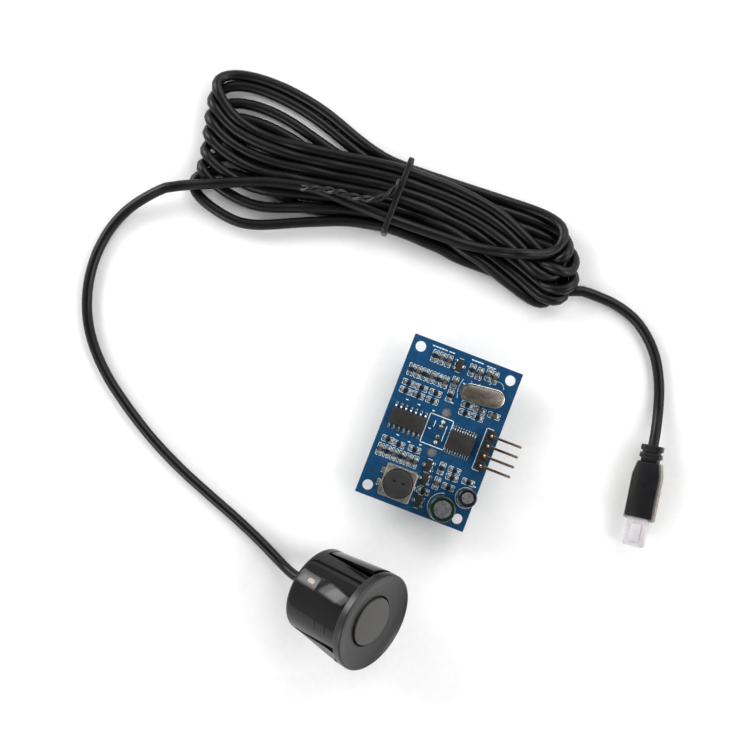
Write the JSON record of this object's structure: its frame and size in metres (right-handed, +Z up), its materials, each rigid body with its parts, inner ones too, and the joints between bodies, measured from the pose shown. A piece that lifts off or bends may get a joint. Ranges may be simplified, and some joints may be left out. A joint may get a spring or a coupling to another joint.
{
  "type": "ultrasonic distance sensor",
  "caption": "Waterproof ultrasonic distance sensor: round probe on a long tied-up lead with a plug, and its driver board with pin header.",
  "frame": {"origin": "on the table, under the middle of the box around the driver board and the probe", "axes": "+X out along the header pins, +Y along the board's long side away from the probe, +Z up"},
  "size_m": [0.1534, 0.1272, 0.0293],
  "materials": {
    "solder_mask": "semi-gloss blue solder mask",
    "chip_epoxy": "fine matt moulded epoxy",
    "header_plastic": "moulded black",
    "tinned_metal": "tin plated",
    "white_nylon": "natural white nylon",
    "nickel_plate": "nickel plated, satin",
    "green_sleeve": "shrunk vinyl sleeve",
    "dark_sleeve": "shrunk vinyl sleeve",
    "bung_rubber": "moulded rubber",
    "ferrite": "ground ferrite",
    "copper_wire": "enamelled winding",
    "gloss_black_abs": "polished mould finish",
    "satin_black_abs": "satin mould finish",
    "painted_aluminium": "satin dark grey paint",
    "silicone": "matt silicone",
    "ceramic": "fired ceramic with silvered faces",
    "felt": "pressed felt",
    "resin": "cast resin",
    "red_wire": "insulated wire",
    "cable_jacket": "satin black vinyl jacket",
    "tie_plastic": "dark grey plastic over wire",
    "plug_base_plastic": "natural grey-beige plastic"
  },
  "bodies": {
    "probe_set": {"probe_housing": "gloss_black_abs", "front_bezel": "satin_black_abs", "transducer_can": "painted_aluminium", "decoupling_ring": "silicone", "piezo_disc": "ceramic", "absorber_pad": "felt", "potting": "resin", "signal_wire": "red_wire", "ground_wire": "tinned_metal", "cable_gland": "silicone", "cord_lead": "cable_jacket", "cord_hank": "cable_jacket", "cord_tail": "cable_jacket", "twist_tie": "tie_plastic", "plug_boot": "satin_black_abs", "plug_cover": "satin_black_abs", "plug_base": "plug_base_plastic", "plug_nose": "white_nylon", "plug_contact_1": "tinned_metal", "plug_contact_2": "tinned_metal"},
    "driver_board": {"circuit_board": "solder_mask", "driver_chip": "chip_epoxy", "control_chip": "chip_epoxy", "transistor_1": "chip_epoxy", "transistor_2": "chip_epoxy", "transistor_3": "chip_epoxy", "transistor_4": "chip_epoxy", "header_base": "header_plastic", "header_pin_1": "tinned_metal", "header_pin_2": "tinned_metal", "header_pin_3": "tinned_metal", "header_pin_4": "tinned_metal", "socket_shell": "white_nylon", "socket_contact_1": "tinned_metal", "socket_contact_2": "tinned_metal", "crystal_base": "nickel_plate", "crystal_can": "nickel_plate", "capacitor_large_can": "green_sleeve", "capacitor_large_bung": "bung_rubber", "capacitor_small_can": "dark_sleeve", "capacitor_small_bung": "bung_rubber", "transformer_can": "nickel_plate", "transformer_base": "header_plastic", "transformer_drum": "ferrite", "transformer_winding": "copper_wire"},
    "tuning_core": {"tuning_core": "ferrite"},
    "snap_tab_left": {"snap_tab_left": "gloss_black_abs"},
    "snap_tab_right": {"snap_tab_right": "gloss_black_abs"}
  },
  "joints": [
    {"name": "board_lift", "type": "slide", "parent": "probe_set", "child": "driver_board", "axis": [0, 0, 1], "range_m": [0, 0.05]},
    {"name": "core_turn", "type": "hinge", "parent": "driver_board", "child": "tuning_core", "pos_m": [-0.00483, 0.00445, 0.011], "axis": [0, 0, 1], "range_deg": [-180, 180]},
    {"name": "tab_left_flex", "type": "hinge", "parent": "probe_set", "child": "snap_tab_left", "pos_m": [-0.01137, -0.01646, 0.00993], "axis": [0.5696, -0.0358, -0.8211], "range_deg": [0, 6.5], "stiffness_Nm_per_rad": 0.05},
    {"name": "tab_right_flex", "type": "hinge", "parent": "probe_set", "child": "snap_tab_right", "pos_m": [-0.01266, -0.03692, 0.00993], "axis": [-0.5696, 0.0358, 0.8211], "range_deg": [0, 6.5], "stiffness_Nm_per_rad": 0.05}
  ]
}
